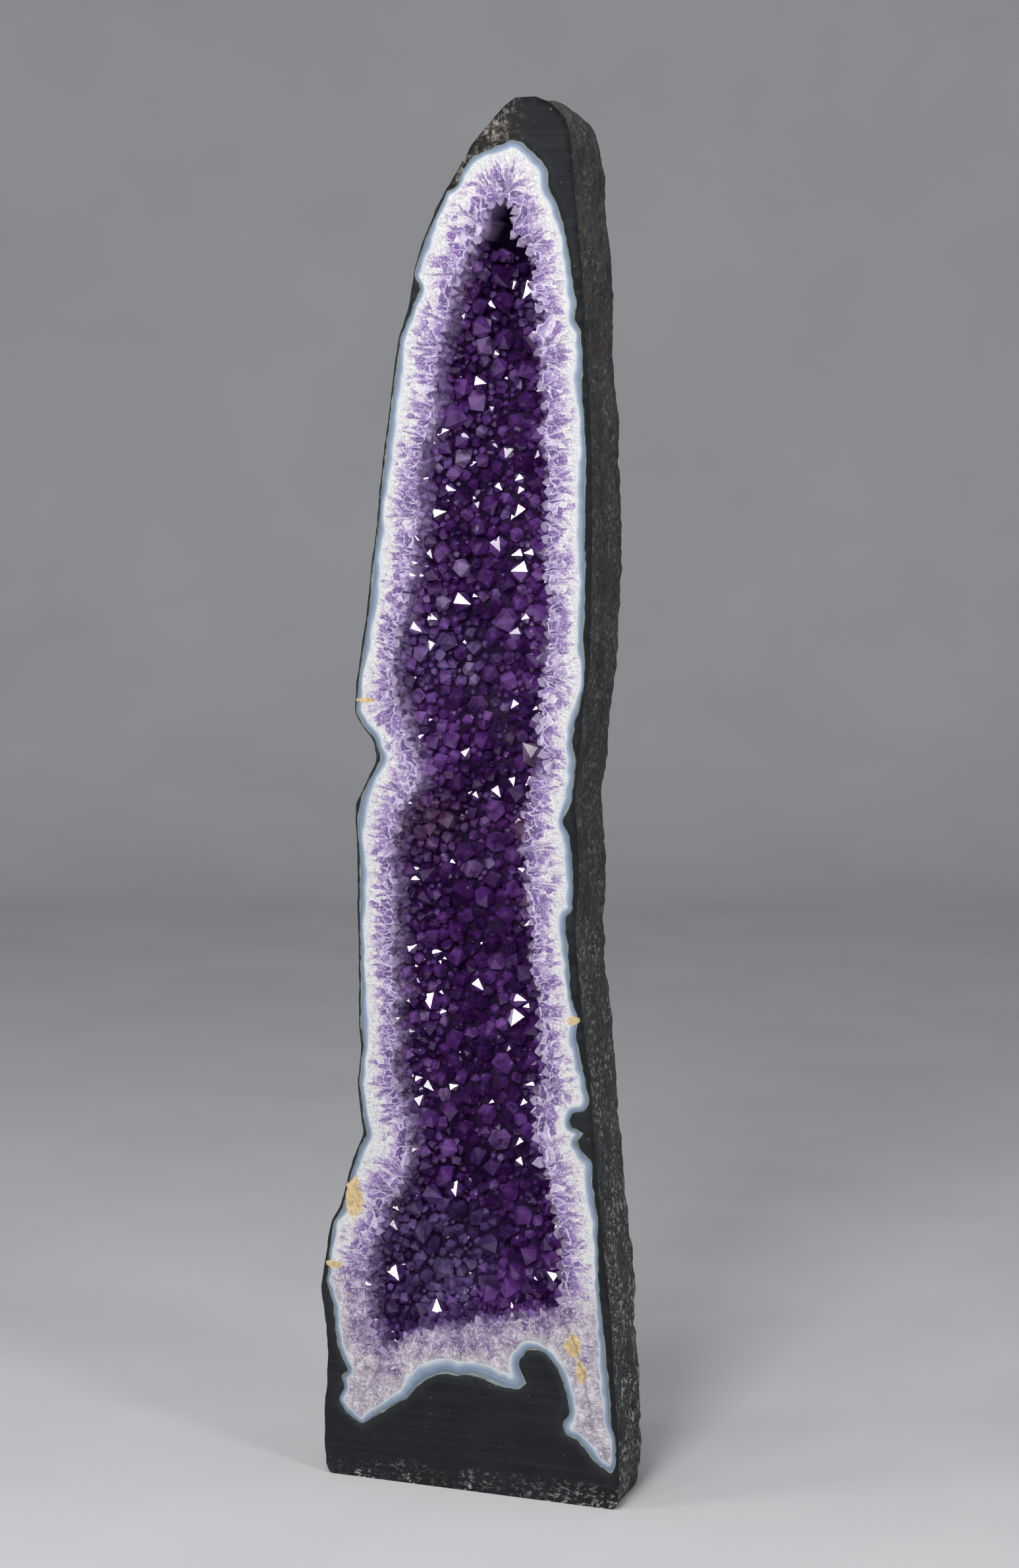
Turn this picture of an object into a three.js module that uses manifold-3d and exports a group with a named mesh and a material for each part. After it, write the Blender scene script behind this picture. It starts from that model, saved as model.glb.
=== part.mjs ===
// Amethyst "cathedral" geode: a tall pipe of basalt, sawn open lengthwise and cut flat at the foot
// so that it stands. Inside the rock are a thin layer of agate and a thick wall of quartz whose
// free side is covered with amethyst points.
//
// Millimetres, +Z up. The sawn face looks along -Y and the rough back of the rock is at +Y.
// Origin: the middle of the bounding box, on the ground.

import * as THREE from 'three';
import { mergeVertices } from 'three/addons/utils/BufferGeometryUtils.js';
import ManifoldModule from 'manifold-3d';

// ---------------------------------------------------------------- driving dimensions
const HEIGHT = 1300; // foot to crown
const GAP = 0.3; // clearance between neighbouring layers
const RIND_SIDE = 1.6; // rock left on the thin side, at the sawn face
const RIND_BACK = 13; // rock behind the agate
const AGATE = 6; // thickness of the agate layer
const FACE_CLEAR = 6; // how far cutting bodies reach past the sawn face
const RING_STEPS = 6; // divisions around the back of a cross-section
const SIDE_FULLNESS = 0.72; // below 1, a cross-section is boxier than an ellipse

// Hexagonal points that stand for the druse
const POINT_SPACING = 66; // distance between neighbouring points
const POINT_RADIUS = [16, 22]; // smallest and largest
const POINT_ROOT = 12; // length buried in the wall
const POINT_SLOPE = 1.15; // height of the tip over its radius
const POINT_COLLAR = 0.35; // height of the prism part over its radius
const POINT_TILT = 0.3; // largest lean from the wall's normal, radians

// Cross-sections of the rock: height, left edge, right edge, depth
const ROCK = [
  [0, -157, 130, 140], [8, -167, 137, 149], [22, -170, 139, 154], [60, -170, 139, 156],
  [90, -167, 136, 157], [118, -166, 134, 157], [145, -168, 132, 158], [162, -170, 131, 158],
  [178, -174, 130, 158], [190, -172, 129, 158], [206, -169, 127, 157], [229, -165, 124, 157],
  [248, -161, 122, 156], [261, -152, 121, 156], [278, -147, 119, 155], [298, -141, 117, 154],
  [320, -133, 115, 153], [333, -126, 114, 153], [350, -129, 112, 152], [380, -133, 110, 150],
  [416, -129, 106, 149], [440, -131, 103, 148], [480, -131, 98, 147], [536, -132, 93, 147],
  [592, -132, 97, 148], [634, -134, 95, 148], [648, -134, 93, 148], [658, -128, 93, 148],
  [675, -119, 95, 148], [692, -110, 96, 147], [711, -116, 98, 147], [722, -127, 99, 147],
  [735, -135, 100, 148], [765, -132, 104, 149], [791, -128, 107, 150], [831, -121, 108, 151],
  [870, -117, 109, 151], [905, -111, 109, 151], [940, -108, 109, 151], [985, -102, 108, 150],
  [1040, -94, 106, 149], [1085, -87, 102, 148], [1104, -79, 101, 147], [1119, -75, 100, 147],
  [1146, -71, 98, 145], [1172, -62, 96, 143], [1189, -54, 94, 141], [1205, -46, 92, 139],
  [1225, -33, 91, 135], [1248, -18, 89, 128], [1262, -9, 87, 121], [1275, 4, 84, 110],
  [1285, 14, 78, 98], [1293, 22, 68, 82], [HEIGHT, 34, 52, 58],
];

// Rim of the agate on the sawn face, clockwise from the crown: x, height
const RIM = [
  [30, 1261], [40, 1259], [50, 1250], [57, 1242], [63, 1233], [66, 1220], [77, 1192], [83, 1174],
  [89, 1134], [93, 1113], [91, 1098], [97, 1087], [100, 1064], [99, 1042], [103, 978],
  [102, 905], [103, 862], [101, 820], [102, 768], [97, 746], [93, 733], [90, 712], [93, 698],
  [89, 658], [84, 649], [81, 640], [88, 622], [92, 581], [90, 559], [84, 551], [87, 500],
  [89, 476], [96, 457], [94, 440], [103, 403], [107, 381], [103, 373], [90, 368], [88, 357],
  [102, 351], [94, 341], [103, 331], [110, 325], [112, 302], [117, 267], [118, 206], [122, 171],
  [126, 136], [130, 95], [134, 62], [135, 46], [131, 35], [117, 44], [107, 53], [95, 63],
  [84, 66], [82, 76], [88, 86], [87, 100], [83, 114], [78, 126], [66, 140], [55, 144], [44, 141],
  [36, 131], [38, 121], [44, 110], [34, 103], [20, 104], [5, 108], [-14, 112], [-43, 110],
  [-59, 104], [-71, 96], [-80, 84], [-95, 75], [-108, 66], [-121, 57], [-130, 52], [-139, 56],
  [-148, 64], [-154, 74], [-149, 84], [-151, 95], [-144, 103], [-150, 115], [-155, 126],
  [-160, 165], [-166, 188], [-164, 214], [-162, 229], [-158, 247], [-149, 261], [-145, 276],
  [-139, 297], [-131, 319], [-123, 333], [-127, 352], [-131, 380], [-127, 416], [-129, 440],
  [-129, 500], [-130, 536], [-129, 580], [-132, 634], [-126, 657], [-117, 674], [-107, 692],
  [-114, 711], [-125, 722], [-133, 736], [-130, 765], [-119, 831], [-115, 869], [-106, 940],
  [-100, 985], [-92, 1040], [-85, 1085], [-76, 1104], [-69, 1119], [-64, 1130], [-71, 1142],
  [-60, 1172], [-52, 1189], [-43, 1205], [-37, 1217], [-26, 1222], [-22, 1233], [-10, 1248],
  [2, 1252], [15, 1257],
];

// Depth of the layered part of the pipe behind the sawn face: height, depth
const LAYERED = [
  [20, 24], [50, 62], [90, 104], [140, 134], [200, 143], [400, 136], [700, 134], [1000, 136],
  [1150, 126], [1220, 100], [1250, 66], [1275, 24],
];

// Cross-sections of the open hollow: height, left edge, right edge, depth
const HOLLOW = [
  [134, -110, -98, 16], [150, -119, -74, 40], [162, -122, -20, 60], [172, -124, 18, 70],
  [181, -126, 66, 78], [190, -126, 79, 84], [213, -122, 81, 90], [240, -116, 82, 92],
  [262, -108, 78, 92], [288, -90, 70, 92], [312, -84, 66, 92], [336, -79, 57, 92],
  [360, -87, 54, 92], [385, -94, 56, 92], [408, -95, 69, 92], [425, -94, 58, 92],
  [470, -93, 58, 92], [505, -95, 51, 92], [560, -95, 49, 92], [612, -95, 42, 92],
  [648, -88, 44, 92], [668, -67, 48, 91], [697, -72, 66, 91], [722, -86, 55, 91],
  [747, -94, 60, 92], [790, -94, 63, 93], [815, -91, 64, 94], [842, -81, 71, 94],
  [870, -78, 65, 94], [905, -70, 65, 94], [950, -69, 65, 94], [990, -62, 62, 93],
  [1013, -53, 64, 92], [1060, -48, 60, 90], [1084, -46, 50, 88], [1100, -37, 62, 86],
  [1127, -35, 46, 83], [1150, -21, 56, 79], [1168, -16, 40, 74], [1178, -4, 31, 68],
  [1190, -2, 34, 60], [1202, 6, 32, 40], [1209, 22, 27, 20],
];

// Dark pocket that runs up behind the top of the rim: centre, then half-sizes
const POCKET = { centre: [14, 58, 1176], half: [27, 34, 50] };

const module = await ManifoldModule();
module.setup();
const { Manifold, Mesh } = module;

// ---------------------------------------------------------------- helpers
function toSolid(geometry) {
  const bare = geometry.index ? geometry.clone() : geometry;
  bare.deleteAttribute('uv');
  bare.deleteAttribute('normal');
  const welded = mergeVertices(bare, 1e-4);
  return new Manifold(new Mesh({
    numProp: 3,
    vertProperties: new Float32Array(welded.attributes.position.array),
    triVerts: new Uint32Array(welded.index.array),
  }));
}

function toGeometry(solid) {
  const mesh = solid.getMesh();
  const geometry = new THREE.BufferGeometry();
  geometry.setAttribute('position', new THREE.BufferAttribute(mesh.vertProperties, 3));
  geometry.setIndex(new THREE.BufferAttribute(mesh.triVerts, 1));
  return geometry;
}

// Value between the rows of a table that is sorted by its first column
function lookUp(table, height, column) {
  const last = table.length - 1;
  const upper = Math.min(Math.max(table.findIndex((row) => row[0] >= height), 1), last);
  const [low, high] = [table[upper - 1], table[height > table[last][0] ? last : upper]];
  const t = THREE.MathUtils.clamp((height - low[0]) / (high[0] - low[0]), 0, 1);
  return THREE.MathUtils.lerp(low[column], high[column], t);
}

// Point of a D-shaped cross-section: turn 0 is the right front corner, turn PI the left one
function sectionPoint(left, right, depth, turn) {
  const across = Math.sign(Math.cos(turn)) * Math.abs(Math.cos(turn)) ** SIDE_FULLNESS;
  const back = Math.abs(Math.sin(turn)) ** SIDE_FULLNESS;
  return [(left + right) / 2 + (across * (right - left)) / 2, depth * back];
}

// Closed body through D-shaped cross-sections, given from the lowest to the highest
function loft(sections, front) {
  const rings = sections.map(([z, left, right, depth]) => {
    const ring = [[left, front, z], [right, front, z]];
    for (let i = 0; i <= RING_STEPS; i += 1) {
      const [x, y] = sectionPoint(left, right, depth, (i / RING_STEPS) * Math.PI);
      if (y > front + 1e-6) ring.push([x, y, z]);
    }
    return ring;
  });
  const count = rings[0].length;
  const index = [];
  for (let r = 0; r + 1 < rings.length; r += 1) {
    for (let i = 0; i < count; i += 1) {
      const a = r * count + i;
      const b = r * count + ((i + 1) % count);
      index.push(a, b, b + count, a, b + count, a + count);
    }
  }
  const top = (rings.length - 1) * count;
  for (let i = 1; i + 1 < count; i += 1) {
    index.push(0, i + 1, i, top, top + i, top + i + 1);
  }
  const geometry = new THREE.BufferGeometry();
  geometry.setAttribute('position', new THREE.Float32BufferAttribute(rings.flat(2), 3));
  geometry.setIndex(index);
  return toSolid(geometry);
}

// Distance from a point to the nearest edge of a closed outline
function edgeDistance(point, outline) {
  const nearest = new THREE.Vector3();
  return Math.min(...outline.map((start, i) => {
    const edge = new THREE.Line3(start, outline[(i + 1) % outline.length]);
    return edge.closestPointToPoint(point, true, nearest).distanceTo(point);
  }));
}

// Closed outline moved inwards by an inset, without the corners that would cross over
function insetOutline(outline, inset) {
  const count = outline.length;
  const moved = outline.map((point, i) => {
    const before = point.clone().sub(outline[(i + count - 1) % count]).normalize();
    const after = outline[(i + 1) % count].clone().sub(point).normalize();
    const along = before.add(after).normalize();
    const widen = Math.min(1 / Math.max(along.dot(after), 0.6), 1.4);
    const inwards = new THREE.Vector3(along.y, -along.x, 0);
    return point.clone().addScaledVector(inwards, inset * widen);
  });
  return moved.filter((point) => edgeDistance(point, outline) >= inset * 0.9);
}

// Straight bar behind the sawn face with the given outline
function bar(outline) {
  const length = 220;
  const shape = new THREE.Shape(outline.map((point) => new THREE.Vector2(point.x, point.y)));
  const geometry = new THREE.ExtrudeGeometry(shape, { depth: length, bevelEnabled: false });
  geometry.rotateX(Math.PI / 2);
  geometry.translate(0, length - FACE_CLEAR, 0);
  return toSolid(geometry);
}

// Body behind an outline on the face, at an inset from the rind of the rock
function layeredBody(outline, inset) {
  const side = RIND_SIDE + inset;
  const [lowest, highest] = [LAYERED[0][0], LAYERED.at(-1)[0]];
  const between = ROCK.map((row) => row[0]).filter((z) => z > lowest && z < highest);
  const sections = [lowest, ...between, highest].map((z) => [
    z,
    lookUp(ROCK, z, 1) + side,
    lookUp(ROCK, z, 2) - side,
    Math.min(lookUp(LAYERED, z, 1), lookUp(ROCK, z, 3) - RIND_BACK) - inset,
  ]);
  return loft(sections, -FACE_CLEAR).intersect(bar(outline));
}

// Repeatable value from 0 to 1 for a whole number
function scatter(seed) {
  const wave = Math.sin(seed * 127.1 + 11.7) * 43758.5453;
  return wave - Math.floor(wave);
}

// Hexagonal quartz point with its base at the origin, growing along +Z
function quartzPoint(radius) {
  const collar = radius * POINT_COLLAR;
  const profile = [
    new THREE.Vector2(0, -POINT_ROOT),
    new THREE.Vector2(radius * 0.92, -POINT_ROOT),
    new THREE.Vector2(radius, collar),
    new THREE.Vector2(0, collar + radius * POINT_SLOPE),
  ];
  return new THREE.LatheGeometry(profile, 6).rotateX(Math.PI / 2);
}

// Druse: points set in staggered rows over the wall of the hollow, all leaning inwards
function druse() {
  const up = new THREE.Vector3(0, 0, 1);
  const points = [];
  const [lowest, highest] = [HOLLOW[1][0] + 12, HOLLOW.at(-3)[0]];
  for (let z = lowest, row = 0; z < highest; z += POINT_SPACING * 0.82, row += 1) {
    const [left, right, depth] = [1, 2, 3].map((column) => lookUp(HOLLOW, z, column));
    const reach = (right - left) * 0.5 + depth * 1.5;
    const count = Math.max(3, Math.round(reach / POINT_SPACING));
    for (let i = 0; i < count; i += 1) {
      const seed = row * 31 + i;
      const turn = ((i + (row % 2 ? 0.75 : 0.3)) / count) * Math.PI;
      const [x, y] = sectionPoint(left, right, depth, turn);
      const [x1, y1] = sectionPoint(left, right, depth, turn + 0.05);
      const inwards = new THREE.Vector3(y - y1, x1 - x, 0).normalize();
      inwards.x += (scatter(seed) - 0.5) * 2 * POINT_TILT;
      inwards.z += (scatter(seed + 0.5) - 0.4) * 2 * POINT_TILT;
      const radius = THREE.MathUtils.lerp(...POINT_RADIUS, scatter(seed + 0.25));
      const turned = new THREE.Quaternion().setFromUnitVectors(up, inwards.normalize());
      const placed = new THREE.Matrix4().compose(
        new THREE.Vector3(x, Math.max(y, 3), z + (scatter(seed + 0.75) - 0.5) * 10),
        turned.multiply(new THREE.Quaternion().setFromAxisAngle(up, scatter(seed + 0.1) * 6)),
        new THREE.Vector3(1, 1, 1),
      );
      points.push(toSolid(quartzPoint(radius).applyMatrix4(placed)));
    }
  }
  return Manifold.union(points);
}

function pocket() {
  const geometry = new THREE.IcosahedronGeometry(1, 1);
  geometry.scale(...POCKET.half);
  geometry.translate(...POCKET.centre);
  return toSolid(geometry);
}

// ---------------------------------------------------------------- the three layers
const rockRim = RIM.map(([x, z]) => new THREE.Vector3(x, z, 0));
const agateOuterRim = insetOutline(rockRim, GAP);
const agateInnerRim = insetOutline(agateOuterRim, AGATE);
const quartzRim = insetOutline(agateInnerRim, GAP);

const rock = loft(ROCK, 0).subtract(layeredBody(rockRim, 0));

const agateCore = layeredBody(agateInnerRim, GAP + AGATE);
const agateBody = layeredBody(agateOuterRim, GAP).trimByPlane([0, 1, 0], 0);
const agate = agateBody.subtract(agateCore);

const quartzBody = layeredBody(quartzRim, GAP + AGATE + GAP).trimByPlane([0, 1, 0], 0);
const hollow = loft(HOLLOW, -FACE_CLEAR).add(pocket());
const quartz = quartzBody.subtract(hollow).add(druse().intersect(quartzBody));

function piece(name, solid, look) {
  const mesh = new THREE.Mesh(toGeometry(solid), new THREE.MeshStandardMaterial(look));
  mesh.name = name;
  return mesh;
}

const geode = new THREE.Group();
geode.name = 'amethyst_geode';
geode.add(
  piece('basalt_shell', rock, { color: 0x2b2c30, roughness: 0.85, metalness: 0 }),
  piece('agate_rim', agate, { color: 0x7c90b4, roughness: 0.35, metalness: 0 }),
  piece('amethyst_lining', quartz, { color: 0x5a2f96, roughness: 0.15, metalness: 0 }),
);

const bounds = new THREE.Box3().setFromObject(geode);
const middle = bounds.getCenter(new THREE.Vector3());
for (const mesh of geode.children) {
  mesh.geometry.translate(-middle.x, -middle.y, -bounds.min.z);
}

export default geode;
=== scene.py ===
"""Looks of the amethyst geode: rough basalt, cut agate and quartz bands, and the druse of points.

Everything is in metres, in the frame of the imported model. The sawn face looks along -Y.
"""

import math

import bmesh
import bpy
import numpy as np
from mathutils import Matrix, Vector
from mathutils.bvhtree import BVHTree
from mathutils.geometry import delaunay_2d_cdt


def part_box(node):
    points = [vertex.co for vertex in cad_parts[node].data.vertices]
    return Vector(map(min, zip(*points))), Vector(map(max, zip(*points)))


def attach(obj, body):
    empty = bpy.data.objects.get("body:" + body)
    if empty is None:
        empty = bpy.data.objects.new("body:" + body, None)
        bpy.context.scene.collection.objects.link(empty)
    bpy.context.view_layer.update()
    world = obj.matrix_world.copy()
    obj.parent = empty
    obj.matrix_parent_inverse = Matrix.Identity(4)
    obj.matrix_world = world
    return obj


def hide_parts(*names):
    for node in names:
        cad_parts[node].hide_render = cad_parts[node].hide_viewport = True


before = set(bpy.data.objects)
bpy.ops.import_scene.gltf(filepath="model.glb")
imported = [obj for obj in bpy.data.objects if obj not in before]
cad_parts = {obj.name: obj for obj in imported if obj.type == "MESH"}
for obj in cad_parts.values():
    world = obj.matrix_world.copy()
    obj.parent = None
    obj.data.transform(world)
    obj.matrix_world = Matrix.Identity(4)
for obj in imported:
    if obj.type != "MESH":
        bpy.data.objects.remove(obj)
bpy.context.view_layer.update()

MM = 0.001
FACE_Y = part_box("basalt_shell")[0][1]  # plane of the sawn face
FOOT_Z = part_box("basalt_shell")[0][2]
CROWN_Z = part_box("basalt_shell")[1][2]
rng = np.random.default_rng(7)

# ---------------- sizes
RIM_STEP = 2.0 * MM  # spacing of points along the cut outlines
ROCK_STEP = 3.2 * MM  # spacing of points on the rough outside of the rock
FOOT_ROUND = 16 * MM  # height over which the foot is rounded
FOOT_TUCK = 8 * MM  # how far the foot is drawn in at the ground
LEAST_RIND = 1.1 * MM  # rock left outside the agate at its thinnest
CROWN_ROUND = 16 * MM  # height over which the rows close up at the crown
BAND_STEP = 3.2 * MM  # spacing inside the cut quartz band
HIDDEN_STEP = 9.0 * MM  # spacing on surfaces between the layers
BACK_GAP = 0.15 * MM  # clearance between the layers behind the sawn face
NEAR_REACH = 0.12  # no point of the sawn face is farther than this from an outline
ROCK_DEPTH = 0.138  # deepest point of the rock's inner wall behind the face
QUARTZ_DEPTH = 0.128
HOLLOW_DEPTH = 0.092
HOLLOW_REACH = 0.070  # distance from the rim at which the hollow is deepest
BOWL_REACH = 0.1  # the same for the hidden walls between the layers
ON_EDGE = 2e-6  # points closer than this to an outline lie on it


# ---------------- noise and outlines
def lattice_noise(points, scale, seed=0):
    """Smooth value noise from -1 to 1 for an (n, 3) array, one wave per scale metres."""
    p = np.asarray(points, float) / scale + 31.7 * (seed + 1)
    cell = np.floor(p).astype(np.int64)
    t = p - cell
    t = t * t * t * (t * (t * 6 - 15) + 10)
    total = np.zeros(len(p))
    for corner in range(8):
        offset = np.array([corner & 1, corner >> 1 & 1, corner >> 2 & 1])
        c = cell + offset
        h = (c[:, 0] * 73856093) ^ (c[:, 1] * 19349663) ^ (c[:, 2] * 83492791) ^ (seed * 2654435761)
        h = (h ^ (h >> 13)) * 1274126177 & 0x7FFFFFFF
        h = (h ^ (h >> 16)) & 0xFFFF
        weight = np.prod(np.where(offset == 1, t, 1 - t), axis=1)
        total += weight * (h / 32767.5 - 1)
    return total


def layered_noise(points, scale, octaves=3, seed=0):
    """Sum of octaves, each half as wide and half as strong."""
    parts = [lattice_noise(points, scale / 2**k, seed + k) / 2**k for k in range(octaves)]
    return sum(parts) / sum(0.5**k for k in range(octaves))


def behind(flat, depth):
    """Flat points (x, z) as points in space, each at its depth behind the sawn face."""
    return np.column_stack([flat[:, 0], FACE_Y + depth, flat[:, 1]])


def on_face(flat):
    return behind(flat, np.zeros(len(flat)))


def ramp_up(value, start, length):
    """0 up to the start and 1 from start plus length, straight in between."""
    return np.clip((value - start) / length, 0, 1)


def face_loops(node):
    """Outlines of a CAD node's faces in the plane of the sawn face, longest first, anticlockwise."""
    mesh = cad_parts[node].data
    flat = {}
    for polygon in mesh.polygons:
        corners = [mesh.vertices[i].co for i in polygon.vertices]
        if all(abs(c.y - FACE_Y) < 2e-5 for c in corners):
            keys = [(round(c.x, 5), round(c.z, 5)) for c in corners]
            for a, b in zip(keys, keys[1:] + keys[:1]):
                flat[(a, b)] = True
    follows = {}
    for a, b in flat:
        if (b, a) not in flat and a != b:
            follows.setdefault(a, []).append(b)
    loops = []
    while follows:
        start = next(iter(follows))
        loop, here = [], start
        while here in follows:
            loop.append(here)
            after = follows[here].pop()
            if not follows[here]:
                del follows[here]
            here = after
        loops.append(np.array(loop))
    loops.sort(key=lambda loop: -length_of(loop))
    return [loop if signed_area(loop) > 0 else loop[::-1] for loop in loops]


def length_of(loop):
    return float(np.linalg.norm(loop - np.roll(loop, 1, axis=0), axis=1).sum())


def signed_area(loop):
    x, z = loop.T
    return 0.5 * float((x * np.roll(z, -1) - np.roll(x, -1) * z).sum())


def respace(loop, step, smooth=0.0):
    """Closed outline at even steps, with corners rounded over the given length."""
    closed = np.vstack([loop, loop[:1]])
    run = np.concatenate([[0], np.cumsum(np.linalg.norm(np.diff(closed, axis=0), axis=1))])
    count = int(round(run[-1] / step))
    at = np.arange(count) * run[-1] / count
    out = np.column_stack([np.interp(at, run, closed[:, k]) for k in (0, 1)])
    if smooth > 0:
        reach = int(3 * smooth / step) + 1
        kernel = np.exp(-0.5 * (np.arange(-reach, reach + 1) * step / smooth) ** 2)
        kernel /= kernel.sum()
        out = sum(w * np.roll(out, k, axis=0) for w, k in zip(kernel, range(-reach, reach + 1)))
    return out


def curve_through(loop, step, longest=12 * MM):
    """Closed outline at even steps along a smooth curve through its corners."""
    corners = []
    for a, b in zip(loop, np.roll(loop, -1, axis=0)):
        parts = max(1, math.ceil(np.linalg.norm(b - a) / longest))
        corners += [a + (b - a) * k / parts for k in range(parts)]
    p1 = np.array(corners)
    p0, p2, p3 = (np.roll(p1, k, axis=0) for k in (1, -1, -2))
    dense = []
    for t in np.arange(8) / 8:
        bend = p0 - 2.5 * p1 + 2 * p2 - 0.5 * p3
        twist = 1.5 * (p1 - p2) + 0.5 * (p3 - p0)
        dense.append(p1 + 0.5 * t * (p2 - p0) + t * t * bend + t**3 * twist)
    return respace(np.stack(dense, 1).reshape(-1, 2), step)


def loop_normals(loop):
    """Inward normals of an anticlockwise outline."""
    along = np.roll(loop, -1, axis=0) - np.roll(loop, 1, axis=0)
    along /= np.maximum(np.linalg.norm(along, axis=1, keepdims=True), 1e-12)
    return np.column_stack([-along[:, 1], along[:, 0]])


def nearest(points, loop):
    """Distance to a closed outline, and the run along it of the nearest point."""
    a, b = loop, np.roll(loop, -1, axis=0)
    ab = b - a
    span = np.maximum((ab**2).sum(1), 1e-18)
    run = np.concatenate([[0], np.cumsum(np.sqrt(span))[:-1]])
    low_end, high_end = np.minimum(a[:, 1], b[:, 1]), np.maximum(a[:, 1], b[:, 1])
    distance, place = np.empty(len(points)), np.empty(len(points))
    order = np.argsort(points[:, 1])
    for first in range(0, len(points), 500):
        rows = order[first : first + 500]
        p = points[rows, None, :]
        level = p[..., 1]
        close = (high_end > level.min() - NEAR_REACH) & (low_end < level.max() + NEAR_REACH)
        u, v, w, r = a[close], ab[close], span[close], run[close]
        t = np.clip(((p - u) * v).sum(2) / w, 0, 1)
        gap = ((u + t[..., None] * v - p) ** 2).sum(2)
        best = gap.argmin(1)
        line = np.arange(len(best))
        distance[rows] = np.sqrt(gap[line, best])
        place[rows] = r[best] + t[line, best] * np.sqrt(w[best])
    return distance, place


def inside(points, loop):
    """Whether each point is inside a closed outline."""
    result = np.zeros(len(points), bool)
    a, b = loop, np.roll(loop, -1, axis=0)
    for low in range(0, len(points), 4000):
        p = points[low : low + 4000]
        crosses = (a[:, 1] > p[:, 1:2]) != (b[:, 1] > p[:, 1:2])
        rise = np.where(np.abs(b[:, 1] - a[:, 1]) < 1e-15, 1e-15, b[:, 1] - a[:, 1])
        at = a[:, 0] + (p[:, 1:2] - a[:, 1]) * (b[:, 0] - a[:, 0]) / rise
        result[low : low + 4000] = (crosses & (p[:, 0:1] < at)).sum(1) % 2 == 1
    return result


def inset(loop, widths):
    """Outline moved inwards by the given widths; points that would come too close are dropped."""
    moved = loop + loop_normals(loop) * widths[:, None]
    distance, _ = nearest(moved, loop)
    keep = (distance > 0.93 * widths) & inside(moved, loop)
    return moved[keep]


def fill(outer, holes, step):
    """Even triangles over a flat region with holes: points and triangles."""
    low, high = outer.min(0), outer.max(0)
    xs = np.arange(low[0], high[0], step)
    zs = np.arange(low[1], high[1], step * 0.866)
    grid = np.array([(x + (row % 2) * step / 2, z) for row, z in enumerate(zs) for x in xs])
    grid += rng.uniform(-0.15, 0.15, grid.shape) * step
    keep = inside(grid, outer)
    for hole in holes:
        keep &= ~inside(grid, hole)
    grid = grid[keep]
    for loop in [outer, *holes]:
        grid = grid[nearest(grid, loop)[0] > 0.55 * step]
    points = np.vstack([outer, *holes, grid])
    edges, base = [], 0
    for loop in [outer, *holes]:
        n = len(loop)
        edges += [(base + i, base + (i + 1) % n) for i in range(n)]
        base += n
    result = delaunay_2d_cdt([Vector(p) for p in points], edges, [], 1, 1e-9, True)
    made = np.array([tuple(v) for v in result[0]])
    triangles = np.array([f for f in result[2] if len(f) == 3])
    middle = made[triangles].mean(1)
    keep = inside(middle, outer)
    for hole in holes:
        keep &= ~inside(middle, hole)
    return made, triangles[keep]


def ellipse_distance(flat, middle, half):
    """Squared distance from the middle of an ellipse, 1 on its edge."""
    return (((flat - np.array(middle)) / half) ** 2).sum(1)


# ---------------- meshes
def placed(name, data):
    """New object in the scene that shows the given data."""
    piece = bpy.data.objects.new(name, data)
    bpy.context.scene.collection.objects.link(piece)
    return piece


class Body:
    """Collects faces with a material number and numbers per point, then joins equal points."""

    def __init__(self):
        self.points, self.faces, self.slots, self.fields, self.count = [], [], [], {}, 0

    def add(self, points, faces, slot=0, **fields):
        self.points.append(points)
        self.faces.append(np.asarray(faces) + self.count)
        self.slots.append(np.full(len(faces), slot))
        for name, values in fields.items():
            self.fields.setdefault(name, []).append((self.count, np.asarray(values, float)))
        self.count += len(points)

    def build(self, name, materials, join=1e-6):
        points = np.vstack(self.points)
        keys = np.round(points / join).astype(np.int64)
        _, first, back = np.unique(keys, axis=0, return_index=True, return_inverse=True)
        back = back.ravel()
        faces, slots = [], []
        for group, numbers in zip(self.faces, self.slots):
            group = back[group]
            ring = np.sort(group, axis=1)
            whole = (np.diff(ring, axis=1) > 0).all(1)
            faces += group[whole].tolist()
            slots.append(numbers[whole])
        mesh = bpy.data.meshes.new(name)
        mesh.from_pydata(points[first].tolist(), [], faces)
        for material in materials:
            mesh.materials.append(material)
        mesh.polygons.foreach_set("material_index", np.concatenate(slots).astype(np.int32))
        for field, pieces in self.fields.items():
            values = np.zeros(len(points))
            for start, given in pieces:
                values[start : start + len(given)] = given
            layer = mesh.attributes.new(field, "FLOAT", "POINT")
            layer.data.foreach_set("value", values[first].astype(np.float32))
        mesh.update()
        return placed(name, mesh)


def bowl(distance, depth, reach):
    """Depth behind the face of a bowl whose wall starts square to the face."""
    t = 1 - np.clip(distance / reach, 0, 1)
    return depth * np.sqrt(np.maximum(1 - t * t, 0))


def split_at_edge(flat, triangles, outline):
    """Gives triangles with all their corners on the outline a middle point, so none stays flat."""
    on_edge = (nearest(flat, outline)[0][triangles] < ON_EDGE).all(1)
    ears = triangles[on_edge]
    middle = np.arange(len(ears)) + len(flat)
    fans = [np.column_stack([ears[:, k], ears[:, (k + 1) % 3], middle]) for k in range(3)]
    return np.vstack([flat, flat[ears].mean(1)]), np.vstack([triangles[~on_edge], *fans])


def sheet(outline, depth):
    """Bowl-shaped surface behind the face inside an outline, facing the front."""
    flat, triangles = split_at_edge(*fill(outline, [], HIDDEN_STEP), outline)
    distance, _ = nearest(flat, outline)
    distance[distance < ON_EDGE] = 0
    return behind(flat, bowl(distance, depth, BOWL_REACH)), triangles


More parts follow.
